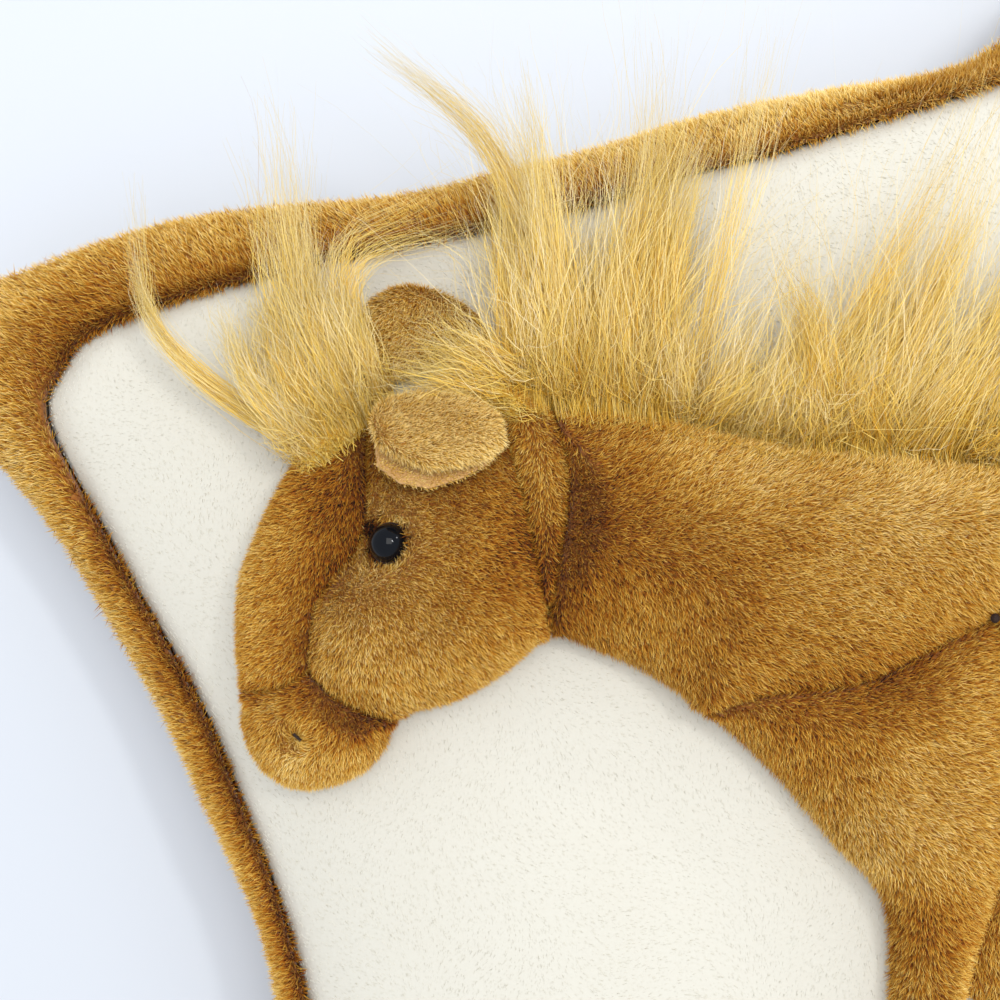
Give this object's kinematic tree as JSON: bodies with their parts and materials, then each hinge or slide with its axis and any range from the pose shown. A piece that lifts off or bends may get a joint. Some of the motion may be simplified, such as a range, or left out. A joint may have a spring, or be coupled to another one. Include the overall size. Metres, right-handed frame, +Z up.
{
  "type": "plush horse cushion",
  "caption": "Square stuffed cushion with a padded plush pony in relief, long-pile mane, forelock and tail, folding ears and a border.",
  "frame": {"origin": "on the floor, under the middle of the cushion as it lies on its back", "axes": "+Z up out of the cushion's front face, +Y towards its top side, +X towards its right side, the pony facing -X"},
  "size_m": [0.4568, 0.4568, 0.13],
  "materials": {
    "brown_plush": "short cut-pile plush, soft and matt",
    "dark_brown_plush": "short cut-pile plush, matt",
    "cream_plush": "dense short-pile fleece, matt",
    "inner_ear_plush": "smooth short velour",
    "golden_pile": "long straight pile, soft sheen",
    "fibre_fill": "loose polyester fibre, matt",
    "black_plastic": "polished",
    "white_nylon": "moulded",
    "dark_thread": "twisted thread"
  },
  "bodies": {
    "cushion": {"front_border": "brown_plush", "back_panel": "brown_plush", "forehead_strip": "brown_plush", "cheek": "brown_plush", "muzzle": "brown_plush", "nape_strip": "brown_plush", "neck": "brown_plush", "barrel": "brown_plush", "hindquarters": "brown_plush", "near_foreleg": "brown_plush", "far_foreleg": "brown_plush", "near_hind_leg": "brown_plush", "far_hind_leg": "brown_plush", "near_fore_hoof": "dark_brown_plush", "far_fore_hoof": "dark_brown_plush", "near_hind_hoof": "dark_brown_plush", "far_hind_hoof": "dark_brown_plush", "front_panel": "cream_plush", "cushion_filling": "fibre_fill", "mane": "golden_pile", "forelock": "golden_pile", "eye": "black_plastic", "eye_washer": "white_nylon", "nostril_stitch": "dark_thread", "shoulder_tack": "dark_thread"},
    "near_ear": {"near_ear": "brown_plush", "near_ear_lining": "inner_ear_plush"},
    "far_ear": {"far_ear": "brown_plush", "far_ear_lining": "inner_ear_plush"},
    "tail": {"tail": "golden_pile"}
  },
  "joints": [
    {"name": "near_ear_fold", "type": "hinge", "parent": "cushion", "child": "near_ear", "pos_m": [-0.11482, 0.12932, 0.10663], "axis": [-0.1551, -0.8797, 0.4495], "range_deg": [0, 70]},
    {"name": "far_ear_fold", "type": "hinge", "parent": "cushion", "child": "far_ear", "pos_m": [-0.093, 0.147, 0.08012], "axis": [0.9997, 0, 0.0259], "range_deg": [0, 60]},
    {"name": "tail_lift", "type": "hinge", "parent": "cushion", "child": "tail", "pos_m": [0.15716, 0.05276, 0.07768], "axis": [-0.8703, -0.3868, 0.3049], "range_deg": [0, 50]}
  ]
}
